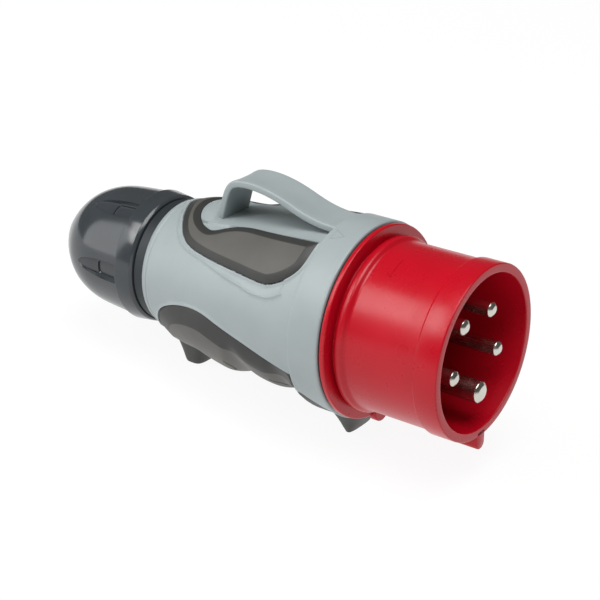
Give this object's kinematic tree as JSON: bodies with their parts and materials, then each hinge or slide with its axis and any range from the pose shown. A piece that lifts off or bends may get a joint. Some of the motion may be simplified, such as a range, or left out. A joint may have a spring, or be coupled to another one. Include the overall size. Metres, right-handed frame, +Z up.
{
  "type": "industrial pin and sleeve plug",
  "caption": "Free plug with a red mating sleeve round its contact pins, a twist-locked grip housing with soft inlays and a hanging loop, and a domed cable gland nut.",
  "frame": {"origin": "centre of the sleeve's mouth, in the plane of its rim", "axes": "+X along the plug's axis out of the mouth, the way it goes into its socket; +Z up, away from the earth pin and the key; +Y to the right seen from the front"},
  "size_m": [0.1622, 0.064, 0.0785],
  "materials": {
    "housing_grey": "fine satin moulding",
    "soft_grip": "soft overmoulded grip, matt",
    "gland_slate": "satin",
    "nut_charcoal": "semi-gloss",
    "sleeve_red": "semi-gloss",
    "seal_rubber": "matt",
    "carrier_black": "matt",
    "nickel_brass": "bright nickel plating",
    "zinc_steel": "zinc plated"
  },
  "bodies": {
    "housing": {"grip_housing": "housing_grey", "top_grip_pad": "soft_grip", "bottom_grip_pad": "soft_grip", "gland_body": "gland_slate", "cord_seal": "seal_rubber", "clamp_cage": "gland_slate"},
    "front_insert": {"sleeve": "sleeve_red", "flange_gasket": "seal_rubber", "contact_carrier": "carrier_black", "carrier_screw": "zinc_steel", "pin_l1": "nickel_brass", "terminal_screw_l1": "zinc_steel", "pin_l2": "nickel_brass", "terminal_screw_l2": "zinc_steel", "pin_l3": "nickel_brass", "terminal_screw_l3": "zinc_steel", "pin_neutral": "nickel_brass", "terminal_screw_neutral": "zinc_steel", "pin_earth": "nickel_brass", "terminal_screw_earth": "zinc_steel"},
    "slip_ring": {"thrust_ring": "carrier_black"},
    "nut": {"gland_nut": "nut_charcoal"}
  },
  "joints": [
    {"name": "insert_turn", "type": "hinge", "parent": "housing", "child": "front_insert", "pos_m": [0, 0, 0], "axis": [1, 0, 0], "range_deg": [0, 25]},
    {"name": "nut_travel", "type": "slide", "parent": "housing", "child": "slip_ring", "axis": [-1, 0, 0], "range_m": [0, 0.00602]},
    {"name": "nut_turn", "type": "hinge", "parent": "slip_ring", "child": "nut", "pos_m": [-0.14, 0, 0], "axis": [-1, 0, 0], "range_deg": [0, 1080]}
  ],
  "couplings": [
    {"joint": "nut_travel", "follows": "nut_turn", "m_per_rad": 0.00031831}
  ]
}
